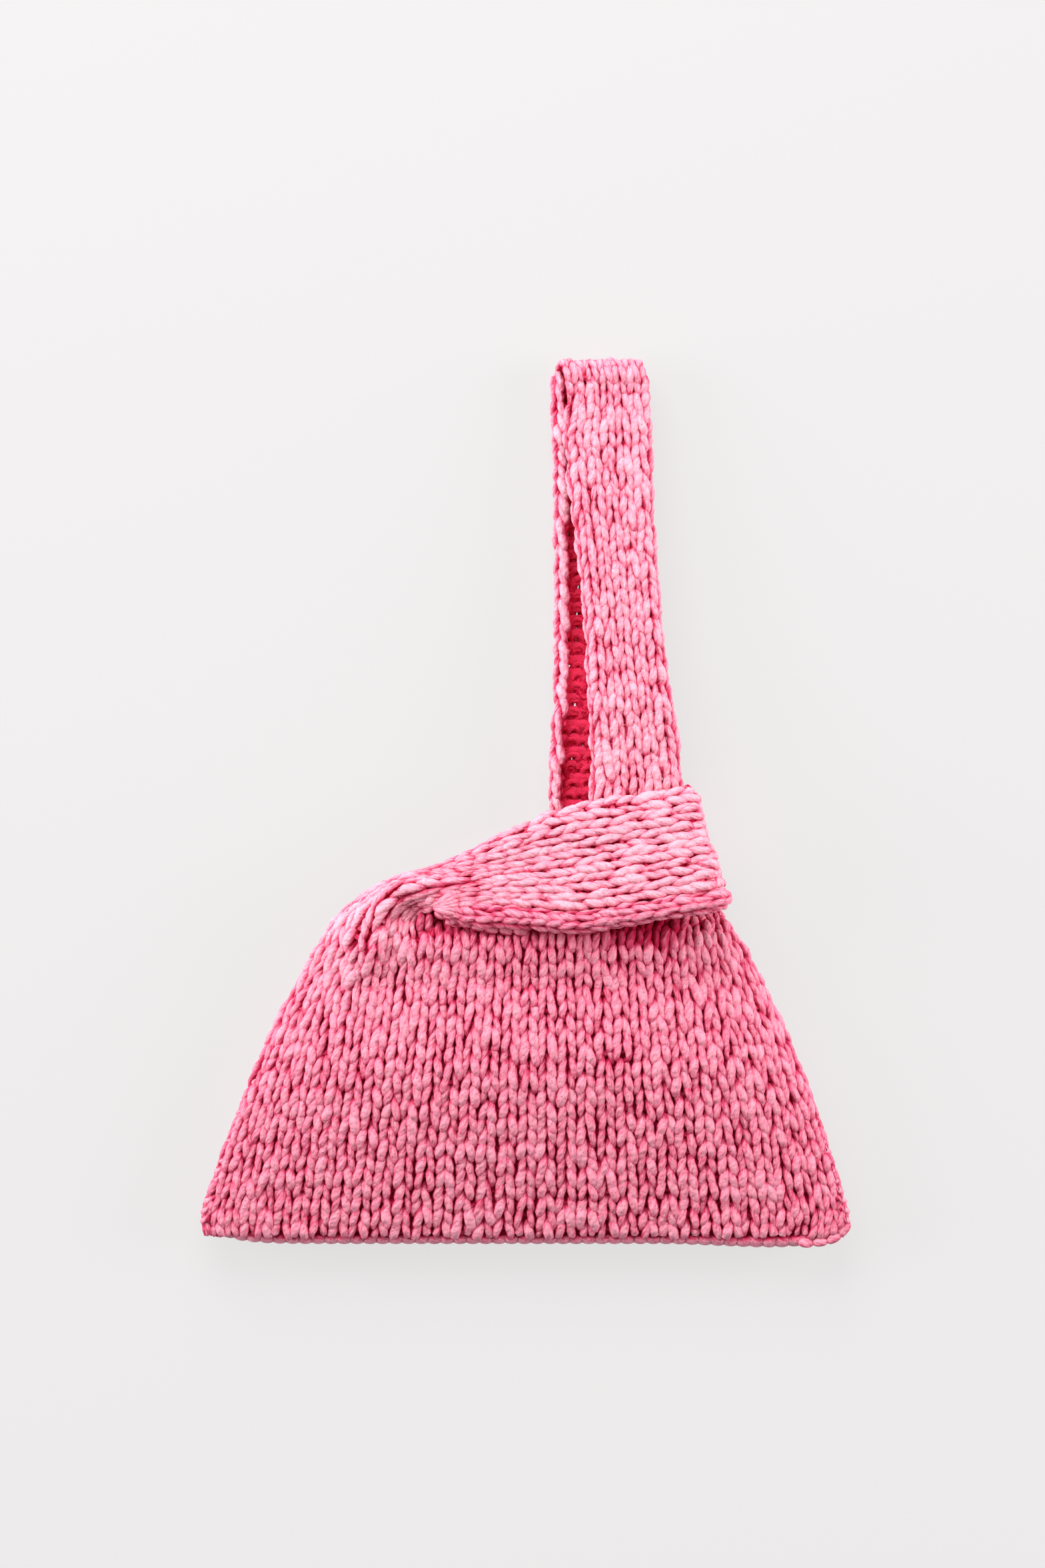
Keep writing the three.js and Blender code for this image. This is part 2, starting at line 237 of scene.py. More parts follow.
def smooth_noise(rows, count, width):
    """Even noise along each row: white noise, softened by a bell of the given width."""
    waves = np.fft.rfft(rng.standard_normal((rows, count)), axis=1)
    waves *= np.exp(-2 * (np.pi * width * np.fft.rfftfreq(count)) ** 2)
    noise = np.fft.irfft(waves, count, axis=1)
    return noise / noise.std()


def knit(surface, wales, courses, way=1, relief=1.0, segments=16, first=0):
    """Strands of stocking stitch on a surface of wale and course numbers, one strand a row.

    The Vs point down the courses, or up them where way is -1, relief is how deep the loops dip,
    and first is the number of the first course. The yarn is thinner where the wales are narrow.
    Gives each strand's middle line, outward direction, radius, and how far it stands in front.
    """
    count = wales * segments + 1
    turn = np.linspace(0, 2 * np.pi * wales, count)[None, :]
    noise = [smooth_noise(courses, count, segments / BELLS_PER_STITCH) for _ in range(4)]
    u = turn / (2 * np.pi) + LEAN * np.sin(2 * turn) + UNEVEN_ACROSS * noise[0]
    row = first + np.arange(courses)[:, None] + 0.5
    v = row + way * RISE * np.cos(turn) + UNEVEN_ALONG * noise[1]
    depth = np.broadcast_to(relief * (-DIP * np.cos(2 * turn) - TUCK * np.cos(turn)), v.shape)
    step = 0.05
    across = (surface(u + step, v) - surface(u - step, v)) / (2 * step)
    along = (surface(u, v + step) - surface(u, v - step)) / (2 * step)
    outward = unit(np.cross(across, along))
    crowding = np.clip(np.linalg.norm(across, axis=-1) / USUAL_WALE, 0.3, 1.2) ** 0.4
    radius = YARN * crowding * (1 - SWELL * np.cos(2 * turn)) * (1 + UNEVEN_YARN * noise[3])
    line = surface(u, v) + (depth + UNEVEN_DEPTH * noise[2])[..., None] * outward
    # Shallow loops count as standing further in front, so they are painted paler: painted light.
    return line, outward, radius, depth + FLAT_FRONT * (1 - relief)


print("a leg of the pouch's stitches is about", round(2 * YARN * (1 + SWELL), 1), "mm thick")

# %% [markdown]
# The wrong side of the fabric looks different: the backs of the loops lie in close purl rows. It
# is seen in the handle's slot and in the open mouth, and it also closes the gaps between the
# stitches. One flat tube a row is enough for it.

# %% Purl side
# Purl rows sit at the crimson back of the ramp: painted shade.
PURL_FRONT = -2.4


def purl(surface, wales, courses, behind=2.4, close=0.6):
    """One flat tube a row, with two points a wale, that lies behind the surface.

    Close is a tube's radius as a share of a row.
    """
    u, v = np.meshgrid(np.arange(0, wales + 0.5, 0.5), np.arange(courses) + 0.5)
    across = surface(u + 0.5, v) - surface(u - 0.5, v)
    along = surface(u, v + 0.5) - surface(u, v - 0.5)
    outward = unit(np.cross(across, along))
    radius = close * np.linalg.norm(along, axis=-1)
    return surface(u, v) - behind * outward, outward, radius, PURL_FRONT + 0 * radius


print("purl rows count as", PURL_FRONT, "mm in front")

# %% [markdown]
# ## From strands to a mesh
# A strand becomes a tube: a ring of points round each point of its middle line. The ring is
# turned to the outward direction, so the tube never twists, and its first point is at the back,
# where the texture's seam can't be seen. Yarn that would reach into the table is pressed flat on
# it. The texture map runs along the strand in centimetres and once round it, so that fibres can
# follow the yarn. Each row and strand starts elsewhere on it, so that no two look alike.

# %% Rings, faces and texture map
TABLE_TOP = 0.05
ROW_START, STRAND_START = 7.3, 0.37


def tube_points(line, outward, radius, depth, sides, flatten):
    """Rings of points round the strands, thinner at both ends, and how far each is in front."""
    turn = 2 * np.pi * np.arange(sides) / sides
    tangent = unit(np.gradient(line, axis=1))
    sideways = unit(np.cross(tangent, outward))
    front = np.cross(sideways, tangent)
    steps = np.arange(radius.shape[1])
    ends = np.minimum(steps, steps[::-1])
    r = (radius * np.sqrt(np.clip(0.25 + ends / 3, 0, 1)))[:, :, None, None]
    back = -np.cos(turn)[:, None] * flatten * front[:, :, None]
    ring = back + np.sin(turn)[:, None] * sideways[:, :, None]
    points = (line[:, :, None] + r * ring).reshape(-1, 3)
    points[:, 2] = np.maximum(points[:, 2], TABLE_TOP)
    return points, (depth[..., None] - flatten * r[..., 0] * np.cos(turn)).ravel()


def tube_faces(line, sides, start):
    """Quads along the tubes and a cap on each end, as point numbers from start on."""
    rows, count = line.shape[:2]
    index = start + np.arange(rows * count * sides).reshape(rows, count, sides)
    here, ahead = index[:, :-1], index[:, 1:]
    quads = np.stack([here, ahead, np.roll(ahead, -1, 2), np.roll(here, -1, 2)], -1)
    return quads.reshape(-1, 4), np.concatenate([index[:, 0], index[:, -1, ::-1]])


def tube_map(line, sides, start):
    """Texture map of those faces: centimetres along the strand, and the share of a turn."""
    steps = np.linalg.norm(np.diff(line, axis=1, prepend=line[:, :1]), axis=-1)
    length = np.cumsum(steps, 1) / 10
    length = length + ROW_START * np.arange(len(line))[:, None] + start * STRAND_START
    near, far, about = np.broadcast_arrays(length[:, :-1, None], length[:, 1:, None],
                                           np.arange(sides) / sides)
    along = np.stack([near, far, far, near], -1)
    about = np.stack([about, about, about + 1 / sides, about + 1 / sides], -1)
    ends = np.repeat(np.concatenate([length[:, 0], length[:, -1]]), sides)
    return np.stack([along, about], -1).reshape(-1, 2), np.stack([ends, 0 * ends + 0.5], -1)


print("quads between two rings:", len(tube_faces(np.zeros((1, 2, 3)), 8, 0)[0]))


# %% Pieces of tubes
def tube_piece(name, strands, sides=8, flatten=FLATTEN):
    """Mesh object of closed tubes, from a list of (middle line, outward, radius, depth) arrays."""
    made, start = [], 0
    for line, outward, radius, depth in strands:
        made.append((*tube_points(line, outward, radius, depth, sides, flatten),
                     *tube_faces(line, sides, start), *tube_map(line, sides, start)))
        start += radius.size * sides
    points, height, quads, caps, quad_map, cap_map = map(np.concatenate, zip(*made))
    corners = np.concatenate([quads.ravel(), caps.ravel()])
    totals = np.concatenate([np.full(len(quads), 4), np.full(len(caps), sides)])
    mesh = bpy.data.meshes.new(name)
    mesh.vertices.add(len(points))
    mesh.vertices.foreach_set("co", (points * MM).astype(np.float32).ravel())
    mesh.loops.add(corners.size)
    mesh.loops.foreach_set("vertex_index", corners.astype(np.int32))
    mesh.polygons.add(len(totals))
    mesh.polygons.foreach_set("loop_start", (np.cumsum(totals) - totals).astype(np.int32))
    mesh.polygons.foreach_set("loop_total", totals.astype(np.int32))
    mesh.update(calc_edges=True)
    mesh.polygons.foreach_set("use_smooth", np.ones(len(totals), dtype=bool))
    layer = mesh.uv_layers.new(name="yarn")
    layer.data.foreach_set("uv", np.concatenate([quad_map, cap_map]).astype(np.float32).ravel())
    # How far each point stands in front: the yarn material paints shade from it.
    front_mm = mesh.attributes.new("front_mm", "FLOAT", "POINT")
    front_mm.data.foreach_set("value", height.astype(np.float32))
    piece = bpy.data.objects.new(name, mesh)
    bpy.context.collection.objects.link(piece)
    print(name, "triangles:", 2 * len(quads) + (sides - 2) * len(caps))
    return piece


print("one unit of the texture map is 10 mm of yarn")

# %% [markdown]
# ## Pouch panels
# The stitch columns, or wales, of the real pouch stand upright in its middle. The pouch is shaped
# by working fewer stitches row by row, so columns end one after another at the sides, and only
# the last few lean with the edge. Each row therefore has its own odd number of wales, and the
# outermost ones are squeezed so that the row ends exactly at the seam. Near the left handle the
# fabric is pulled into a ridge, a bump with a steep inner side. Painted light makes the yarn on the
# shoulder paler, as on the handles, and painted shade makes the rows under the loop a deeper pink,
# most of all in the small hollow at its right, so the number that later gives the colour goes up
# and down there.

# %% Ridge, painted light and painted shade
# Painted light on the shoulder, and painted shade under the loop and in the hollow at its right.
RIDGE_HEIGHT, RIDGE_OUTER, RIDGE_INNER = 7.0, 9.0, 4.0
SHOULDER_PAINTED_LIGHT, LOOP_PAINTED_SHADE, HOLLOW_PAINTED_SHADE, HOLLOW_REACH = 0.5, 1.6, 0.6, 3


def ridge_rise(x, y):
    """Height of the shoulder's ridge: a bell across it, wide outside and steep inside."""
    away = x - np.interp(y, [-110, -84, -70, -53, -44], [-73, -71.5, -70.5, -67.5, -64])
    bell = np.exp(-0.5 * (away / np.where(away < 0, RIDGE_OUTER, RIDGE_INNER)) ** 2)
    return RIDGE_HEIGHT * bell * smoothstep(y, -104, -56)


def painted_light_and_shade(x, y):
    """Painted light that the shoulder adds to the depth that colours the yarn, less the painted
    shade under the loop.
    """
    inside, right_end = smoothstep(x, -60, -42), smoothstep(x, 66, 78)
    shoulder = smoothstep(y, -100, -66) * (1 - inside)
    hollow = smoothstep(x, 25, 50) * (1 - right_end)
    under_loop = smoothstep(y, -65 - HOLLOW_REACH * hollow, -56 - HOLLOW_REACH * hollow)
    covered = inside * (1 - 0.9 * right_end)
    return SHOULDER_PAINTED_LIGHT * shoulder - (LOOP_PAINTED_SHADE + HOLLOW_PAINTED_SHADE * hollow) * under_loop * covered


print("ridge at the mouth:", np.round(ridge_rise(-69.0, -60.0), 1), "mm")

# %% [markdown]
# A panel is knitted on its own arcs: wales are spread evenly over its width and courses over its
# length. Every row is worked at full width and then cut at the seams. The front runs on a little
# past the neckline, into the mouth, and its top rows give their first columns to the short
# handle, which goes on from there.

# %% Front and back of the pouch
POUCH_WALES, WALE, TOP_WALE, COURSE = 35, 9.2, 8.4, 6.4
TOP_RUN, GIVEN_WALES, GIVEN_FROM = 1.11, 6, -63.0
EVEN_RUN, CROWDED, SQUEEZE_FROM = 0.42, 1.1, 0.55


def length_along(line):
    """Distance from the start of a line at each of its points: a running sum of its steps."""
    steps = np.diff(line, axis=0, prepend=line[:1])
    return np.cumsum(np.linalg.norm(steps, axis=-1))


def even(curve, low, high, count=600):
    """A function that spreads 0 to 1 evenly over a curve's length, and that length."""
    at = np.linspace(low, high, count)
    length = length_along(curve(at))
    return (lambda share: np.interp(share, length / length[-1], at)), length[-1]


def panel_strands(point, top_run, ridge, segments):
    """A knitted panel as one strand for each course, and its purl rows. Ridge is 1 or 0."""
    side_of, _ = even(lambda s: point(s, np.full_like(s, EVEN_RUN)), -1, 1)
    run_of, length = even(lambda r: point(np.zeros_like(r), r), 0, top_run)
    runs = np.linspace(0, top_run, 40)
    arcs = np.array([even(lambda s: point(s, np.full_like(s, run)), -1, 1, 200)[1] for run in runs])
    courses = round(length / COURSE)

    def wales_to_seam(run):
        return np.interp(run, runs, arcs / 2) / lerp(WALE, TOP_WALE, run)

    row_run = run_of((np.arange(courses) + 0.5) / courses)
    halves = np.floor(CROWDED * wales_to_seam(row_run) - 0.5).astype(int)
    row_wales = np.minimum(POUCH_WALES, 2 * halves + 1)

    def surface(u, v):
        run = run_of(v / courses)
        seam = wales_to_seam(run)
        t, last = (u - POUCH_WALES / 2) / seam, row_wales[:, None] / 2 / seam
        squeeze = (last - 1) / (last - SQUEEZE_FROM) ** 2
        away = np.abs(t) - squeeze * np.maximum(0, np.abs(t) - SQUEEZE_FROM) ** 2
        place = point(side_of(np.sign(t) * np.clip(away, 0, 1) / 2 + 0.5), run)
        place[..., 2] += ridge * ridge_rise(place[..., 0], place[..., 1])
        return place

    def cut(arrays, segments, given, trim=0):
        """The part of each row between the seams, less the columns that it gives away and the
        points that are trimmed off both ends."""
        given = given * (ridge > 0) * (lerp(Y_BOTTOM, Y_NECK, row_run) > GIVEN_FROM)
        first = ((POUCH_WALES - row_wales) // 2 + given) * segments + trim
        last = (POUCH_WALES + row_wales) // 2 * segments + 1 - trim
        return [[array[j:j + 1, first[j]:last[j]] for array in arrays] for j in range(courses)]

    line, outward, radius, depth = knit(surface, POUCH_WALES, courses, segments=segments)
    # Painted light on the shoulder and painted shade under the loop go into the depth.
    depth = depth + ridge * painted_light_and_shade(line[..., 0], line[..., 1])
    loops = cut((line, outward, radius, depth), segments, GIVEN_WALES)
    return loops, cut(purl(surface, POUCH_WALES, courses), 2, 2, 1)


front_strands, front_backs = panel_strands(front_point, TOP_RUN, 1.0, 16)
back_strands, back_backs = panel_strands(back_point, 1.0, 0.0, 12)
half = len(front_strands) // 2
front_pieces = [tube_piece("front_panel_lower_knit", front_strands[:half], 8),
                tube_piece("front_panel_upper_knit", front_strands[half:], 8),
                tube_piece("front_panel_purl", front_backs, 8, 0.5)]
back_pieces = [tube_piece("back_panel_knit", back_strands, 6),
               tube_piece("back_panel_purl", back_backs, 6, 0.5)]

# %% [markdown]
# ## Long handle
# The long handle is a strip that leaves the right of the neckline, runs up in front, folds over
# at the top and comes down behind. The edges of stocking stitch always roll towards the back of
# the fabric, so its edges roll under in front, and on the strap behind they roll up and show
# their columns beside the crimson inner side. The strip is a middle line with a cross-section:
# flat in the middle, and an arc of a circle at each edge. Thin purl rows behind the loops make
# the ribbed inner side that shows in the slot.

# %% Middle line and widths of the long handle
HANDLE_FOOT, STATIONS, FOLD_PROUD = -44, 120, 1.8
OPEN_CURL, FRONT_CURL, BACK_CURL = 0.2, 1.6, 3.1
FRONT_ROLL, BACK_ROLL = 4.2, 4.4


def handle_stations():
    """Rows of the strip, from the front foot to the back: middle, outward, half width, and the
    radius and angle of its rolled edges."""
    up = np.linspace(HANDLE_FOOT, Y_FOLD, STATIONS)
    climb = np.clip((up - Y_SWING) / (Y_FOLD - Y_SWING), 0, 1)
    front_x = np.interp(up, [HANDLE_FOOT, 12, 32, 62, 93, 120, 147, 166, 203],
                        [53, 51.3, 49.8, 46.6, 44.3, 41.8, 39.4, 38.2, 37.4])
    front_half = np.interp(up, [HANDLE_FOOT, 12, 32, 62, 93, 120, 147, 196],
                           [24, 18.8, 17.8, 16.2, 15.6, 16.2, 17.5, 19.0])
    front = np.stack([front_x, up, lerp(FRONT_BOTTOM, FABRIC + FOLD_GAP, climb) + MID], -1)
    back_x = np.interp(up, [HANDLE_FOOT, 0, 60, 110, 203], [45, 29.5, 32.5, 33, 31.5])
    back_half = np.interp(up, [HANDLE_FOOT, 0, 203], [20, 16.5, 17.0])
    back = np.stack([back_x, up, back_bottom(up) + MID], -1)
    turn = np.linspace(0, np.pi, 14)[1:-1]
    share, radius = turn / np.pi, MID + FOLD_GAP / 2 + FOLD_PROUD
    fold = np.stack([lerp(front_x[-1], back_x[-1], share), Y_FOLD + radius * np.sin(turn),
                     FABRIC + FOLD_GAP / 2 + radius * np.cos(turn)], -1)
    line = np.concatenate([front, fold, back[::-1]])
    outward = unit(np.cross([1.0, 0.0, 0.0], np.gradient(line, axis=0)))
    fold_half = lerp(front_half[-1], back_half[-1], share)
    half = np.concatenate([front_half, fold_half, back_half[::-1]])
    rolled = 1 - smoothstep(up, 165, Y_FOLD)
    angle = np.concatenate([OPEN_CURL + FRONT_CURL * rolled, lerp(OPEN_CURL, BACK_CURL, share**2),
                            np.full(STATIONS, BACK_CURL)])
    curl = np.concatenate([np.full(STATIONS, FRONT_ROLL), lerp(FRONT_ROLL, BACK_ROLL, share),
                           np.full(STATIONS, BACK_ROLL)])
    return np.column_stack([line, outward, half, curl, angle])


stations = handle_stations()
print("the long handle has", len(stations), "stations, from", np.round(stations[0, :3], 1))

# %% Long handle knit
HANDLE_WALES, HANDLE_COURSE = 6, 6.1


def rows_at(at, length, table):
    """Rows of a table, mixed between the two nearest ones, at distances along its line."""
    return np.stack([np.interp(at, length, column) for column in table.T], -1)


def strip_surface(table, wales, course_mm):
    """A strip of even courses along a line, flat in the middle and rolled back at both edges."""
    length = length_along(table[:, :3])
    courses = round(length[-1] / course_mm)

    def surface(u, v):
        at = v / courses * length[-1]
        rows = rows_at(at, length, table)
        half, curl, most = rows[..., 6], rows[..., 7], rows[..., 8]
        flat = half - curl * np.sin(np.minimum(most, np.pi / 2))
        reach = np.abs(2 * u / wales - 1) * (flat + curl * most)
        angle = np.maximum(0, reach - flat) / curl
        x = np.sign(u - wales / 2) * (np.minimum(reach, flat) + curl * np.sin(angle))
        drop = curl * (1 - np.cos(angle))
        across = x[..., None] * np.array([1.0, 0, 0])
        return rows[..., :3] + across - drop[..., None] * unit(rows[..., 3:6])

    return surface, courses


handle_surface, handle_courses = strip_surface(stations, HANDLE_WALES, HANDLE_COURSE)
handle_loops = knit(handle_surface, HANDLE_WALES, handle_courses, -1, 0.9)
handle_backs = purl(handle_surface, HANDLE_WALES, handle_courses, 1.0, 0.4)
long_handle = tube_piece("long_handle_knit", [handle_loops], 8)
long_purl = tube_piece("long_handle_purl", [handle_backs], 8, 0.3)

# %% [markdown]
# ## Short handle
# The short handle leaves the left of the pouch. Its outer columns rise over the ridge and turn to
# the right, and its inner ones are gathered in the corner of the mouth and spread out from there.
# So it is worked as two strips side by side, each ruled between an outer and an inner line. Both
# go across the front, round the long handle and back behind it.

# %% Loop plan
SLIDE = unit(np.array([-0.1, 1.0]))
LOOP_ALONG = unit(LOOP_END - LOOP_START)
LOOP_ACROSS = np.array([-LOOP_ALONG[1], LOOP_ALONG[0]])
LOOP_PROUD, END_REACH, BACK_NARROWER = 2.0, 7.0, 0.25


def loop_plan(side, t):
    """Point of the loop in plan: side 1 is its upper edge and -1 its lower, t goes to the right."""
    spread = smoothstep(t, 0, LOOP_SPREAD)[..., None]
    half = lerp(LOOP_START_WIDTH, LOOP_WIDTH, spread) / 2
    return lerp(LOOP_START, LOOP_END, t[..., None]) + side * half * lerp(SLIDE, LOOP_ACROSS, spread)


def loop_height(side, t):
    """Middle layer of the loop's front: it stands further off the bag towards its lower edge."""
    half = lerp(LOOP_START_WIDTH, LOOP_WIDTH, smoothstep(t, 0, LOOP_SPREAD)) / 2
    return LOOP_BOTTOM + MID + LOOP_TILT * (1 - side) * half


def loop_line(side, start):
    """One line along the loop, from t = start on the front, round its end, to the back's left."""
    t = np.linspace(start, 1, 40)
    front = np.column_stack([loop_plan(side, t), loop_height(side, t) + LOOP_PROUD])
    turn = np.linspace(0, np.pi, 32)[1:-1]
    end = loop_plan(side, np.ones(1))[0]
    axis = (loop_height(side, np.ones(1))[0] + LOOP_PROUD + MID) / 2
    reach = lerp(0.0, END_REACH, ((1 - side) / 2) ** 2) * np.sin(turn)
    fold = np.column_stack([end + reach[:, None] * LOOP_ALONG, axis + (axis - MID) * np.cos(turn)])
    back_t = np.linspace(1, 0, 40)
    back_plan = loop_plan(side - BACK_NARROWER * (side > 0), back_t)
    return np.concatenate([front, fold, np.column_stack([back_plan, np.full(40, MID)])])


for side in (1, -1):
    print("corner of the loop's end:", np.round(loop_plan(side, np.ones(1))[0], 1))

# %% [markdown]
# The lines of the shoulder come from the photograph: the silhouette on the left, the ridge where
# the fabric folds over, and the line that turns round the corner of the mouth. They start a row
# below the columns that the panel gave away, at its height. Each is joined to a line along the
# loop and one behind it, and then smoothed.

# %% Lines of the short handle
silhouette = [(-96.5, -72, 15.8), (-90.4, -61.7, 18.5), (-83.8, -51, 20), (-76.1, -44.5, 21.5),
              (-66.8, -39, 24), (-58.2, -34.4, 27.5), (-47.3, -31.6, 32), (-36.6, -28, 36.5),
              (-29, -23.4, 41)]
ridge = [(-72, -72, 41.5), (-71.1, -62, 43), (-69.8, -54, 42.5), (-67.3, -47.2, 42.5),
         (-62.5, -41.6, 43.5), (-56.5, -37.6, 45), (-49.5, -35.4, 46.5), (-40, -35, 47.5),
         (-28, -33.5, 48)]
corner = [(-49, -72, 41.5), (-48.6, -64, 43), (-50, -57, 40.5), (-50.5, -53, 38.5),
          (-48.5, -50.2, 38), (-45, -48.5, 40), (-41, -47.5, 43.5), (-36, -46.8, 47.5),
          (-28, -46.4, 49.5)]


def spread(line, count):
    """The line resampled at even steps."""
    length = length_along(line)
    return rows_at(np.linspace(0, length[-1], count), length, line)


def soften(line, width=1.8):
    """The line smoothed by a bell of that many points, with its two ends kept."""
    bell = np.exp(-0.5 * (np.arange(-8, 9) / width) ** 2)
    padded = np.concatenate([2 * line[:1] - line[8:0:-1], line, 2 * line[-1:] - line[-2:-10:-1]])
    return np.stack([np.convolve(column, bell / bell.sum(), "valid") for column in padded.T], -1)


def shoulder_back(side):
    """The back of the left shoulder: from the loop's start down to the neckline's left corner."""
    t = np.linspace(0, 1, 31)[1:, None]
    start = np.append(loop_plan(side - BACK_NARROWER * (side > 0), np.zeros(1))[0], MID)
    end = np.array([lerp(-62.0, -82.0, (side + 1) / 2), Y_NECK - 1, BACK_LIFT + MID])
    sag = 4 * t * (1 - t) * np.array([0, -3.0 * (side > 0), 0])
    return lerp(start, end, t) + sag


def strip_line(shoulder, side):
    """One whole line of the short handle: over the shoulder, along the loop, and back behind."""
    shoulder = spread(np.array(shoulder, float), 40)
    return soften(np.concatenate([shoulder, loop_line(side, 0.05), shoulder_back(side)]))


outer_line, split_line = strip_line(silhouette, 1), strip_line(ridge, 0)
inner_line = strip_line(corner, -1)
print("points on each line of the short handle:", len(outer_line))

# %% [markdown]
# Between the lines lie two strips of three columns. Their Vs point up the shoulder and then, on
# the loop, the other way. The yarn on the shoulder starts in the panel's colour and gains the
# handle's painted light towards the loop.

# %% Short handle strips
LOOP_WALES, LOOP_COURSE, UPPER_SHOULDER, LOWER_SHOULDER = 3, 7.0, 12, 8
LATER_CROWN, CREST_WIDENS = 0.8, 0.12


def ruled_surface(outer, inner, wales, course_mm, start_crown, curl, crest):
    """A strip ruled between two lines. It swells by start_crown in its middle where it leaves the
    panel and by LATER_CROWN later, and drops by curl at its outer edge. Over the shoulder its
    first column is wider and stands up by crest. The first course is left free."""
    middle = (outer + inner) / 2
    length = length_along(middle)
    courses = round(length[-1] / course_mm) - 1
    out = unit(np.cross(inner - outer, np.gradient(middle, axis=0)))
    table = np.concatenate([outer, inner, out], 1)

    def surface(u, v):
        at = (v + 1) / (courses + 1) * length[-1]
        rows = rows_at(at, length, table)
        f, away = np.clip(u / wales, 0, 1), smoothstep(at, 8, 36)
        turned = crest * smoothstep(at, 0, 20) * (1 - smoothstep(at, 50, 80))
        f = f ** (1 - CREST_WIDENS * turned)
        crown = lerp(start_crown, LATER_CROWN, away) * 4 * f * (1 - f)
        lift = crown - away * curl * np.clip(1 - f / 0.3, 0, 1) ** 2
        lift = lift + turned * np.exp(-((f - 0.2) / 0.17) ** 2)
        ruled = lerp(rows[..., :3], rows[..., 3:6], f[..., None])
        return ruled + lift[..., None] * unit(rows[..., 6:])

    return surface, courses


def faded(strands):
    """Strands whose colour starts as the panel's at y = -72 and has the handle's painted light from
    y = -54.
    """
    line, outward, radius, depth = strands
    return line, outward, radius, depth - SHOULDER_PAINTED_LIGHT * (1 - smoothstep(line[..., 1], -72, -54))


upper = ruled_surface(outer_line, split_line, LOOP_WALES, LOOP_COURSE,
                      start_crown=3.2, curl=2.5, crest=0.0)
lower = ruled_surface(split_line, inner_line, LOOP_WALES, LOOP_COURSE,
                      start_crown=-1.5, curl=0.0, crest=2.0)
strips = [(*upper, UPPER_SHOULDER), (*lower, LOWER_SHOULDER)]
shoulder_strands = [faded(knit(surface, LOOP_WALES, shoulder, 1, 0.9))
                    for surface, courses, shoulder in strips]
loop_strands = [knit(surface, LOOP_WALES, courses - shoulder, -1, 0.75, first=shoulder)
                for surface, courses, shoulder in strips]
short_backs = [purl(surface, LOOP_WALES, courses) for surface, courses, shoulder in strips]
short_handle = tube_piece("short_handle_knit", shoulder_strands + loop_strands, 8)
short_purl = tube_piece("short_handle_purl", short_backs, 8, 0.5)

# %% [markdown]
# ## Rolled edge
# The free edge of the loop rolls into a thick cord. A rolled edge of stocking stitch is knitting
# on a narrow tube, so the same function makes it: the wales go round the cord and the courses go
# along it. Its right end bends down round the loop's end, and painted light makes its yarn a
# little paler towards its right.

# %% Edge cord
EDGE_WALES, EDGE_COURSE, EDGE_YARN, EDGE_CORD_PAINTED_LIGHT = 4, 6.6, 1.8, 0.4


def cord_surface(line, radius, wales, course_mm):
    """Knitting round a cord: the wale number is an angle, and the course number a length."""
    forward = unit(np.gradient(line, axis=0))
    top = unit(np.cross(np.cross(forward, [0.0, 0.0, 1.0]), forward))
    length = length_along(line)
    courses = round(length[-1] / course_mm)
    table = np.concatenate([line, forward, top], 1)

    def surface(u, v):
        at = v / courses * length[-1]
        rows = rows_at(at, length, table)
        forward, top = unit(rows[..., 3:6]), unit(rows[..., 6:])
        angle = 2 * np.pi * (u / wales)[..., None]
        around = np.cos(angle) * top + np.sin(angle) * np.cross(forward, top)
        return rows[..., :3] + radius * around

    return surface, courses


edge_t = np.linspace(0.0, 1.01, 60)
upwards = unit(loop_plan(1, edge_t) - loop_plan(-1, edge_t))
edge_plan = loop_plan(-1, edge_t) - (EDGE_RADIUS + GAP) * upwards
edge_front = np.column_stack([edge_plan, loop_height(-1, edge_t) + 1.0])
edge_bend = edge_front[-1] + np.array([(3.0, 0.5, -2.5), (4.4, 0.8, -10.0)])
edge_line = soften(spread(np.concatenate([[(-35, -49, 46.5)], edge_front, edge_bend]), 80))
edge_surface, edge_courses = cord_surface(edge_line, EDGE_RADIUS - EDGE_YARN,
                                          EDGE_WALES, EDGE_COURSE)
edge_middle, edge_out, edge_radius, edge_depth = knit(edge_surface, EDGE_WALES, edge_courses, -1)
# Painted light: the cord's yarn is a little paler towards its right.
edge_depth = edge_depth + EDGE_CORD_PAINTED_LIGHT * smoothstep(edge_middle[..., 0], 20, 50)
edge_loops = (edge_middle, edge_out, edge_radius, edge_depth)
edge_piece = tube_piece("short_handle_edge_knit", [edge_loops], 8)

# %% [markdown]
# ## Seams
# The sewn bottom edge of thick yarn shows as a row of short bars. It is one strand that runs along
# the bottom seam and ducks in between the bars, and a second one below it closes the edge of the
# back panel. A few short wraps of yarn round off the right corner. Each side seam is one strand
# sewn over and over, a close flat helix.


# %% Seam strands
# Depth here only picks a strand's place on the yarn's ramp of painted shade: smaller is a deeper
# pink.
def strand(line, radius, outward, depth=1.0):
    """One strand in the form that tube_piece takes."""
    radius = np.broadcast_to(radius, line.shape[:1])[None]
    return line[None], np.broadcast_to(outward, line.shape)[None], radius, depth + 0 * radius


def fold_arc(start, end, radius, rise, depth):
    """A puffed fold from one point to another: it rises in its middle and is thin at its ends."""
    t = np.linspace(0, 1, 14)[:, None]
    bow = np.sin(np.pi * t)
    straight = lerp(np.array(start, float), np.array(end, float), t)
    line = straight + rise * bow * np.array([0, 0, 1.0])
    puffed = radius * (0.35 + 0.65 * np.sqrt(np.abs(bow[:, 0])))
    return strand(line, puffed, np.array([0, 0.2, 1.0]), depth)


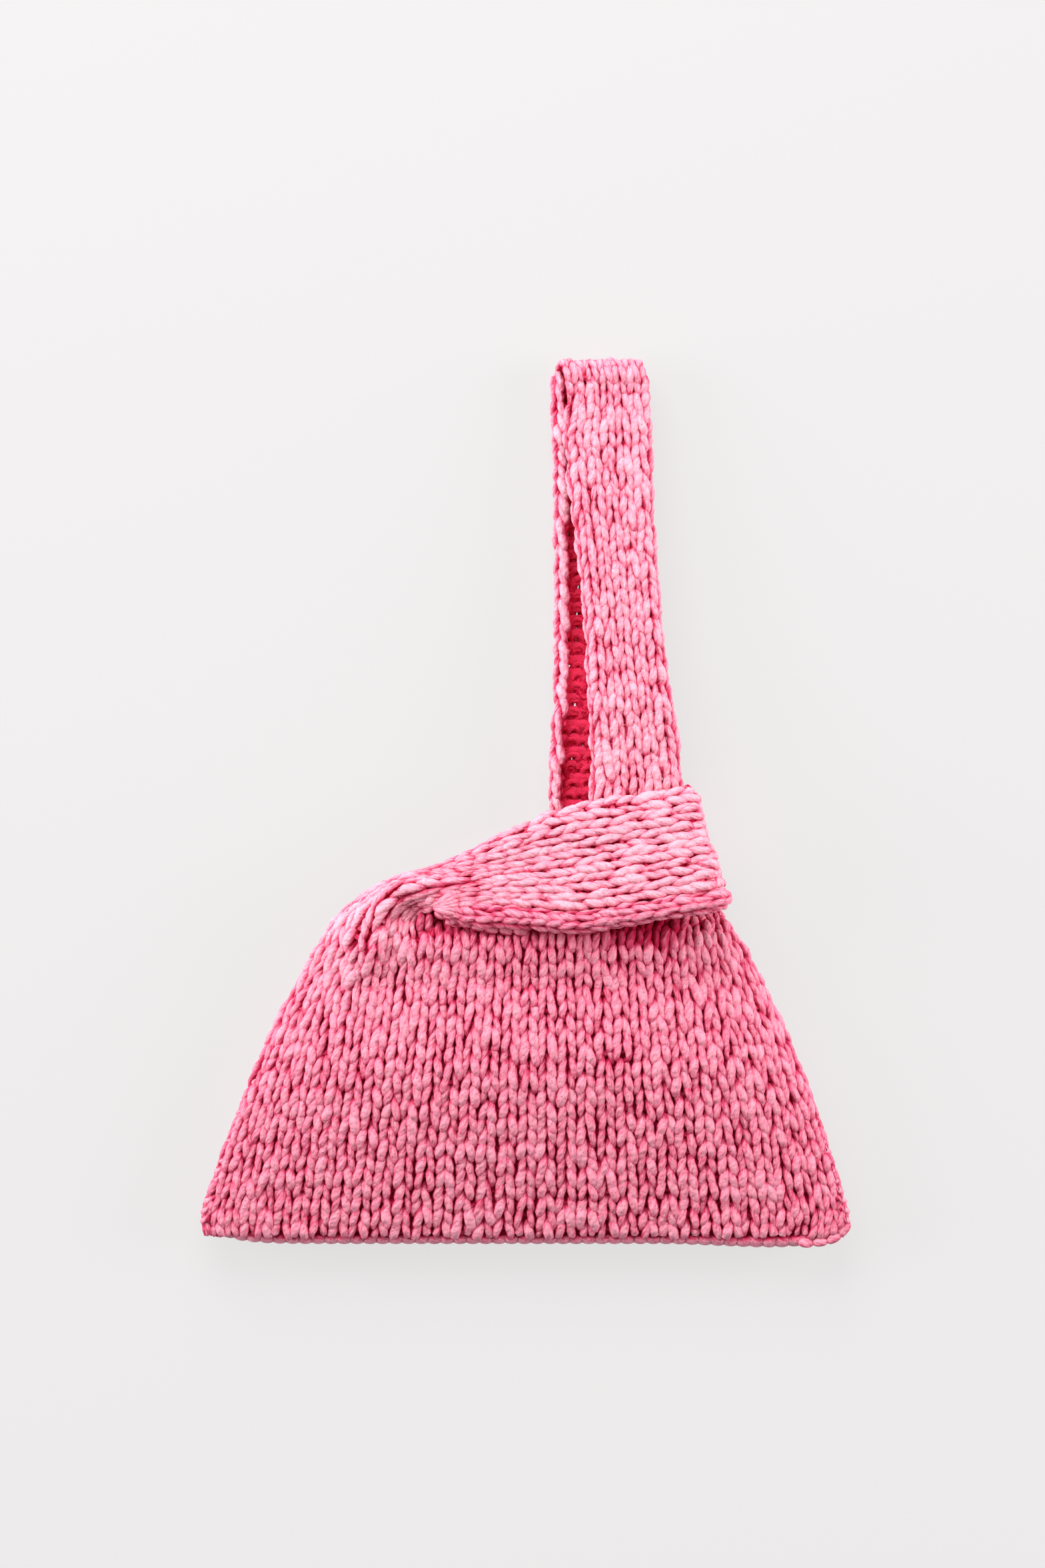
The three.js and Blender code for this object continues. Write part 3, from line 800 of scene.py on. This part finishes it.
def bottom_bars(inset, height):
    """Bars along the bottom: y dips in at each bar's ends, and the radius shrinks there. The row
    sags to the right, and turns up at both corners."""
    bars, bar = 49, 5.9
    turn = np.linspace(0, bars, bars * 12 + 1)
    bow = np.abs(np.sin(np.pi * turn)) ** 0.5
    x = (turn - bars / 2) * bar
    sag = 1.4 * smoothstep(x, 60, 122)
    corners = (np.abs(x) / 141) ** 14 * 5.0
    y = Y_BOTTOM + inset - sag + 0.9 * (1 - bow) + corners
    line = np.stack([x, y, np.full_like(x, height)], -1)
    return strand(line, 2.9 + 1.1 * bow + 0.6 * sag, np.array([0, -1.0, 0.3]), 1.2)


def side_whip(side):
    """A helix round the side seam, from the bottom corner to the neckline."""
    turns = 32
    turn = np.linspace(0, turns, turns * 14 + 1)
    y = lerp(Y_BOTTOM + 12, Y_NECK + 6, turn / turns)
    x = middle_x(y) + side * (half_width(y) - 4.5 + 1.8 * np.cos(2 * np.pi * turn))
    z = panel_base(y) - SEAM / 2 + 4.0 * np.sin(2 * np.pi * turn)
    return strand(np.stack([x, y, z], -1), 1.5, np.array([side, 0, 0.0]), 2.0)


wraps = [((125, -200.8), (132.5, -201.4)), ((131.5, -201), (139, -200.2)),
         ((138, -200.8), (145, -197)), ((143.5, -198.5), (148.8, -191.5))]
corner_wraps = [fold_arc((*a, 21), (*b, 21), 2.3, 1.0, 1.6) for a, b in wraps]
bottom_rows = [bottom_bars(3.8, EDGE_LIFT + FABRIC + 1.0), bottom_bars(4.8, EDGE_LIFT + 1.2)]
bottom_piece = tube_piece("bottom_seam_yarn", [*bottom_rows, *corner_wraps], 8, 0.6)
left_seam = tube_piece("left_side_seam_yarn", [side_whip(-1)], 6)
right_seam = tube_piece("right_side_seam_yarn", [side_whip(1)], 6)

# %% [markdown]
# ## Gathered corner
# In the left corner of the mouth the fabric is drawn together. Short puffed folds fan out from
# one pinched point onto the loop, small lumps of its edge follow them to the right, and two tucks
# fill the corner below. Each is one short thick strand.

# %% Folds, lumps and tucks
PINCH = (-41.5, -47.5, 46.5)
fan = [(-32, -39.8), (-30.5, -41.8), (-29.5, -43.8), (-28.8, -45.8), (-28.5, -48), (-30, -50.5)]
lumps = [(-37.5, -50.5), (-32, -52.8), (-26.5, -54.4), (-21, -55.9), (-15, -57), (-8.5, -57.6),
         (-2, -58)]
tucks = [-47.8, -44.0]
folds = [fold_arc(PINCH, (x, y, 50.5), 1.75, 3.4, 1.6) for x, y in fan]
folds += [fold_arc((x - 3.4, y + 1.0, 47.5), (x + 3.4, y - 0.8, 47.5), 2.3, 0.6, 0.8)
          for x, y in lumps]
folds += [fold_arc((-44.5, -44.6, 45.5), (-40, -43.0, 47.0), 2.5, 1.0, 1.6)]
# The tucks sit deepest on that ramp: painted shade in the corner below.
folds += [fold_arc((x, -59, 41.0), (x + 1.2, -49.5, 42.5), 2.1, 0.8, 0.2) for x in tucks]
gather_piece = tube_piece("mouth_gather_yarn", folds, 8)

# %% [markdown]
# ## Cotton yarn
# The yarn is a soft, loosely spun cotton in pink with darker hairs spun in. Such yarn is matt. Its
# colour carries painted shade: it follows how far a strand stands in front, crimson deep between
# the stitches, where light arrives from other dyed yarn, and pale on top. Streaks follow the fibres
# at a slant, because the yarn is twisted, and shift that colour a little way back or forth. Short
# dark specks lie on it, and a crumple of shallow dents keeps it from looking smooth. The texture
# map gives the length along the strand in centimetres and the way round it, so each pattern's size
# is set in millimetres.


# %% Colours and nodes
def linear(hex_colour):
    """An sRGB hex colour as linear light: the usual power curve, channel by channel."""
    value = np.array([int(hex_colour[i:i + 2], 16) / 255 for i in (1, 3, 5)])
    value = np.where(value <= 0.04045, value / 12.92, ((value + 0.055) / 1.055) ** 2.4)
    return (*value.tolist(), 1.0)


def node(tree, kind, settings=None, **inputs):
    """Add a node: settings are its properties, and inputs are values or sockets to link. An input
    is named, with _ for a space, or numbered, as i0."""
    made = tree.nodes.new(kind)
    for key, value in (settings or {}).items():
        setattr(made, key, value)
    for key, value in inputs.items():
        number = key[1:]
        socket = made.inputs[int(number) if number.isdigit() else key.replace("_", " ")]
        if isinstance(value, bpy.types.NodeSocket):
            tree.links.new(value, socket)
        else:
            socket.default_value = value
    return made


print("crimson as linear light:", np.round(linear("#b5103a"), 3))

# %% Yarn material
GIRTH, TURNS_PER_CM, STREAK_SHIFT = 2 * np.pi * YARN, 0.3, 3.2
STREAK, SPECK, CRUMPLE = (4.0, 1.0), (0.9, 0.55), (2.2, 2.2)
BACK_MM, FRONT_MM, TONE_PLACES = -2.0, 3.4, (0.15, 0.46, 0.65, 0.8)
FLAT, ADD, MIX = {"noise_dimensions": "2D"}, {"operation": "MULTIPLY_ADD"}, {"data_type": "RGBA"}
DENTS = {"voronoi_dimensions": "2D", "feature": "SMOOTH_F1"}


def pattern_scale(size):
    """Repeats of a pattern in one unit of the texture map, from its length and width in mm."""
    return 10 / size[0], GIRTH / size[1], 1.0


def yarn_material(name, colours, fleck):
    """Melange cotton yarn with streaks, specks and a crumple of the sizes above.

    The six colours are painted shade: they go from the back of the fabric to its front, from
    BACK_MM to FRONT_MM.
    """
    material = bpy.data.materials.new(name)
    material.use_nodes = True
    tree = material.node_tree
    shader = tree.nodes["Principled BSDF"]
    uv = node(tree, "ShaderNodeUVMap", {"uv_map": "yarn"}).outputs["UV"]
    parts = node(tree, "ShaderNodeSeparateXYZ", None, Vector=uv).outputs
    twist = node(tree, "ShaderNodeMath", ADD, i0=parts["X"], i1=TURNS_PER_CM, i2=parts["Y"])
    along = node(tree, "ShaderNodeCombineXYZ", None, X=parts["X"], Y=twist.outputs[0]).outputs[0]

    def pattern(kind, settings, size, **inputs):
        scale = pattern_scale(size)
        space = node(tree, "ShaderNodeMapping", None, Vector=along, Scale=scale).outputs[0]
        return node(tree, kind, settings, Vector=space, Scale=1.0, **inputs)

    streak = pattern("ShaderNodeTexNoise", FLAT, STREAK, Detail=4.0).outputs[0]
    speck = pattern("ShaderNodeTexNoise", FLAT, SPECK, Detail=1.0).outputs[0]
    crumple = pattern("ShaderNodeTexVoronoi", DENTS, CRUMPLE).outputs["Distance"]

    front = node(tree, "ShaderNodeAttribute", {"attribute_name": "front_mm"}).outputs["Fac"]
    # Streaks shift the depth, and the ramp turns the depth into painted shade.
    streak_and_painted_shade = node(tree, "ShaderNodeMath", ADD, i0=streak, i1=STREAK_SHIFT, i2=front).outputs[0]
    share = node(tree, "ShaderNodeMapRange", None, Value=streak_and_painted_shade, From_Min=STREAK_SHIFT / 2 + BACK_MM,
                 From_Max=STREAK_SHIFT / 2 + FRONT_MM).outputs[0]
    ramp = node(tree, "ShaderNodeValToRGB", None, Fac=share)
    ramp.color_ramp.elements[0].color = linear(colours[0])
    ramp.color_ramp.elements[1].color = linear(colours[5])
    for place, colour in zip(TONE_PLACES, colours[1:5]):
        ramp.color_ramp.elements.new(place).color = linear(colour)
    shown = node(tree, "ShaderNodeMapRange", None, Value=speck, From_Min=0.68, From_Max=0.74,
                 To_Min=0.0, To_Max=0.65).outputs[0]
    specked = node(tree, "ShaderNodeMix", MIX, i0=shown, i6=ramp.outputs[0], i7=linear(fleck))
    tree.links.new(specked.outputs[2], shader.inputs["Base Color"])

    relief = node(tree, "ShaderNodeMath", ADD, i0=streak, i1=0.5, i2=crumple).outputs[0]
    bump = node(tree, "ShaderNodeBump", None, Height=relief, Strength=0.7, Distance=1 * MM)
    tree.links.new(bump.outputs[0], shader.inputs["Normal"])
    shader.inputs["Roughness"].default_value = 0.9
    shader.inputs["Specular IOR Level"].default_value = 0.05
    return material


# Both lists run from the back of the fabric to its front. The handles' list is the same yarn
# painted paler, with a paler speck: painted light.
pouch_tones = ["#f53b63", "#b5103a", "#ba1e44", "#d34a6d", "#f1819c", "#f7a3b6"]
handle_painted_light_tones = ["#fc3f68", "#cb183f", "#c9254b", "#de5979", "#f594ab", "#fbb4c4"]
pouch_yarn = yarn_material("pink_melange_cotton", pouch_tones, "#84304c")
handle_painted_light_yarn = yarn_material("pink_melange_cotton_painted_light", handle_painted_light_tones, "#8c3350")
print("materials:", pouch_yarn.name, handle_painted_light_yarn.name)

# %% [markdown]
# ## What each piece rides on
# The pouch's pieces ride on the pouch. The handles' pieces ride on no body: only their places
# are baked into their meshes.

# %% Bodies, finishes and replaced solids
handle_pieces = [long_handle, long_purl, short_handle, short_purl]
knit_pieces = [*front_pieces, *back_pieces, *handle_pieces]
seam_pieces = [edge_piece, bottom_piece, left_seam, right_seam, gather_piece]
for piece in [*knit_pieces, *seam_pieces]:
    # The handles get the copy of the yarn with painted light.
    piece.data.materials.append(handle_painted_light_yarn if piece in handle_pieces else pouch_yarn)

for piece in [*front_pieces, *back_pieces, bottom_piece, left_seam, right_seam, gather_piece]:
    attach(piece, "pouch")
for piece in [long_handle, long_purl]:
    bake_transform(piece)
for piece in [short_handle, short_purl, edge_piece]:
    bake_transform(piece)

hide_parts("front_panel")
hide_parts("back_panel")
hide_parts("left_side_seam")
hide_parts("right_side_seam")
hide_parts("bottom_seam")
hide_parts("mouth_gather")
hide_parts("short_handle_edge")
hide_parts("right_shoulder_front", "right_shoulder_back",
            "long_handle_front", "long_handle_back", "long_handle_graft")
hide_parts("left_shoulder_front", "left_shoulder_back",
            "short_handle_front", "short_handle_back", "short_handle_graft")
print("knitted pieces:", len(knit_pieces), "seam pieces:", len(seam_pieces))

# %% [markdown]
# ## Table
# The table is a plain board in matt paint. The photograph's background is very pale. Brighter
# lamps would give that and bleach the bag, so the board is grey and glows a little for camera
# rays only. It keeps the bag's shadow, and the bag sees a plain pale board.

# %% Painted board
TABLE_HALF, GLOW = 6, 0.77
table_mesh = bpy.data.meshes.new("table")
signs = [(-1, -1), (1, -1), (1, 1), (-1, 1)]
table_corners = [(x * TABLE_HALF, y * TABLE_HALF, 0) for x, y in signs]
table_mesh.from_pydata(table_corners, [], [(0, 1, 2, 3)])
table = bpy.data.objects.new("table", table_mesh)
bpy.context.collection.objects.link(table)
table_paint = bpy.data.materials.new("matt_table_paint")
table_paint.use_nodes = True
paint_tree = table_paint.node_tree
paint = paint_tree.nodes["Principled BSDF"]
seen = node(paint_tree, "ShaderNodeLightPath").outputs["Is Camera Ray"]
board = node(paint_tree, "ShaderNodeMix", MIX, i0=seen, i6=linear("#dcdada"), i7=linear("#5c5b5b"))
glow = node(paint_tree, "ShaderNodeMath", {"operation": "MULTIPLY"}, i0=seen, i1=GLOW)
paint_tree.links.new(board.outputs[2], paint.inputs["Base Color"])
paint_tree.links.new(glow.outputs[0], paint.inputs["Emission Strength"])
paint.inputs["Roughness"].default_value = 0.8
paint.inputs["Emission Color"].default_value = linear("#f4f2f2")
table_mesh.materials.append(table_paint)
print("table:", 2 * TABLE_HALF, "m wide")

# %% [markdown]
# ## Light
# The light is soft. Its nearest lamp stands beyond the top of the picture, so the handle gets
# more of it than the bottom of the pouch. Two lamps further off at the sides stand low, which is
# what makes the stitches stand out, and the world fills the shade a little.


# %% Lamps and world
def lamp(name, place, watts, size):
    """A square soft lamp that looks at the middle of the bag."""
    light = bpy.data.lights.new(name, "AREA")
    light.energy, light.size = watts, size
    made = bpy.data.objects.new(name, light)
    made.location = place
    made.rotation_euler = (Vector((0, 0, 0.02)) - Vector(place)).to_track_quat("-Z", "Y").to_euler()
    bpy.context.collection.objects.link(made)


lamp("window_top", (-0.3, 1.3, 1.05), 35, 1.4)
lamp("window_left", (-2.2, 0.2, 0.85), 50, 1.4)
lamp("window_right", (2.2, 0.2, 0.85), 50, 1.4)

world = bpy.data.worlds.new("studio")
bpy.context.scene.world = world
world.use_nodes = True
sky = world.node_tree.nodes["Background"]
sky.inputs["Color"].default_value = linear("#f4f4f6")
sky.inputs["Strength"].default_value = 0.2
bpy.context.scene.view_settings.view_transform = "Standard"
print("lamps:", [light.name for light in bpy.data.lights if light.name.startswith("window")])

# %% [markdown]
# Last, the scene is brought up to date. The knit may stand a little proud of the solids, but
# not more.

bpy.context.view_layer.update()
